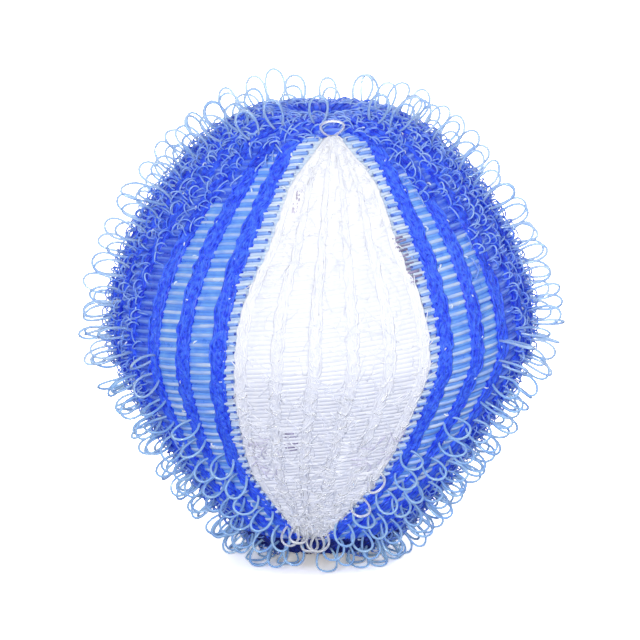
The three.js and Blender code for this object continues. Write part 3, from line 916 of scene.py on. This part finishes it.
# Lamps: name, place in metres, size in metres and power in watts
LAMPS = [("key", (-0.11, -0.45, 0.11), 0.10, 1.15),
         ("fill", (0.32, -0.22, 0.20), 0.25, 0.34),
         ("top", (0.02, 0.10, 0.45), 0.25, 0.30),
         ("back", (0.10, 0.42, 0.16), 0.30, 0.55)]
LAMP_TARGET = (0, 0, 0.016)

# Camera: degrees round and above the ball, metres from its aim, and the picture's size and scale
CAMERA_AZIMUTH, CAMERA_ELEVATION, CAMERA_DISTANCE = -3.4, 11.0, 0.30
CAMERA_AIM = (-0.00007, 0.0, 0.01758)
PICTURE_PIXELS, PIXEL, SENSOR_WIDTH = 640, 0.0000728, 36.0


def larger(tree, first, second):
    """The larger of two values in a node tree."""
    node = tree.nodes.new("ShaderNodeMath")
    node.operation = "MAXIMUM"
    tree.links.new(first, node.inputs[0])
    tree.links.new(second, node.inputs[1])
    return node.outputs[0]


def build_floor():
    """A floor that is white where the camera sees it and darker where it lights the ball."""
    bpy.ops.mesh.primitive_plane_add(size=4.0, location=(0, 0, 0))
    floor = bpy.context.object
    floor.name = "floor"
    material = bpy.data.materials.new("white_floor")
    material.use_nodes = True
    tree = material.node_tree
    shader = tree.nodes["Principled BSDF"]
    shader.inputs["Roughness"].default_value = 0.8
    rays = tree.nodes.new("ShaderNodeLightPath").outputs
    direct = larger(tree, rays["Is Camera Ray"], rays["Is Transmission Ray"])
    seen = tree.nodes.new("ShaderNodeMix")
    seen.data_type = "RGBA"
    seen.inputs["A"].default_value = FLOOR_BOUNCE
    seen.inputs["B"].default_value = FLOOR_SEEN
    tree.links.new(direct, seen.inputs["Factor"])
    tree.links.new(seen.outputs["Result"], shader.inputs["Base Color"])
    glow = tree.nodes.new("ShaderNodeMath")
    glow.operation = "MULTIPLY"
    glow.inputs[1].default_value = FLOOR_GLOW
    tree.links.new(direct, glow.inputs[0])
    shader.inputs["Emission Color"].default_value = (1, 1, 1, 1)
    tree.links.new(glow.outputs[0], shader.inputs["Emission Strength"])
    floor.data.materials.append(material)


def build_world():
    """A white world that is dimmer where it lights the ball than where it is seen or mirrored."""
    world = bpy.data.worlds.new("studio")
    world.use_nodes = True
    bpy.context.scene.world = world
    tree = world.node_tree
    background = tree.nodes["Background"]
    background.inputs["Color"].default_value = (1, 1, 1, 1)
    rays = tree.nodes.new("ShaderNodeLightPath").outputs
    direct = larger(tree, rays["Is Camera Ray"], rays["Is Transmission Ray"])
    strength = tree.nodes.new("ShaderNodeMapRange")
    strength.inputs["To Min"].default_value = WORLD_FILL
    strength.inputs["To Max"].default_value = WORLD_SEEN
    tree.links.new(larger(tree, direct, rays["Is Glossy Ray"]), strength.inputs["Value"])
    tree.links.new(strength.outputs["Result"], background.inputs["Strength"])


def build_lamps():
    for name, place, size, power in LAMPS:
        data = bpy.data.lights.new(name, "AREA")
        data.shape, data.size, data.energy = "DISK", size, power
        lamp = bpy.data.objects.new(name, data)
        lamp.location = place
        lamp.rotation_euler = (Vector(LAMP_TARGET) - Vector(place)).to_track_quat("-Z", "Y").to_euler()
        bpy.context.collection.objects.link(lamp)


def build_camera():
    azimuth, elevation = math.radians(CAMERA_AZIMUTH), math.radians(CAMERA_ELEVATION)
    out = Vector((math.sin(azimuth) * math.cos(elevation),
                  -math.cos(azimuth) * math.cos(elevation), math.sin(elevation)))
    data = bpy.data.cameras.new("camera")
    data.sensor_width = SENSOR_WIDTH
    data.lens = SENSOR_WIDTH * CAMERA_DISTANCE / (PICTURE_PIXELS * PIXEL)
    camera = bpy.data.objects.new("camera", data)
    camera.location = Vector(CAMERA_AIM) + CAMERA_DISTANCE * out
    camera.rotation_euler = (-out).to_track_quat("-Z", "Y").to_euler()
    bpy.context.collection.objects.link(camera)
    bpy.context.scene.camera = camera


build_wales()
build_blue_filaments()
build_border_filaments()
build_white_filaments()
build_threads()
build_floor()
build_world()
build_lamps()
build_camera()
bpy.context.scene.view_settings.view_transform = "Standard"
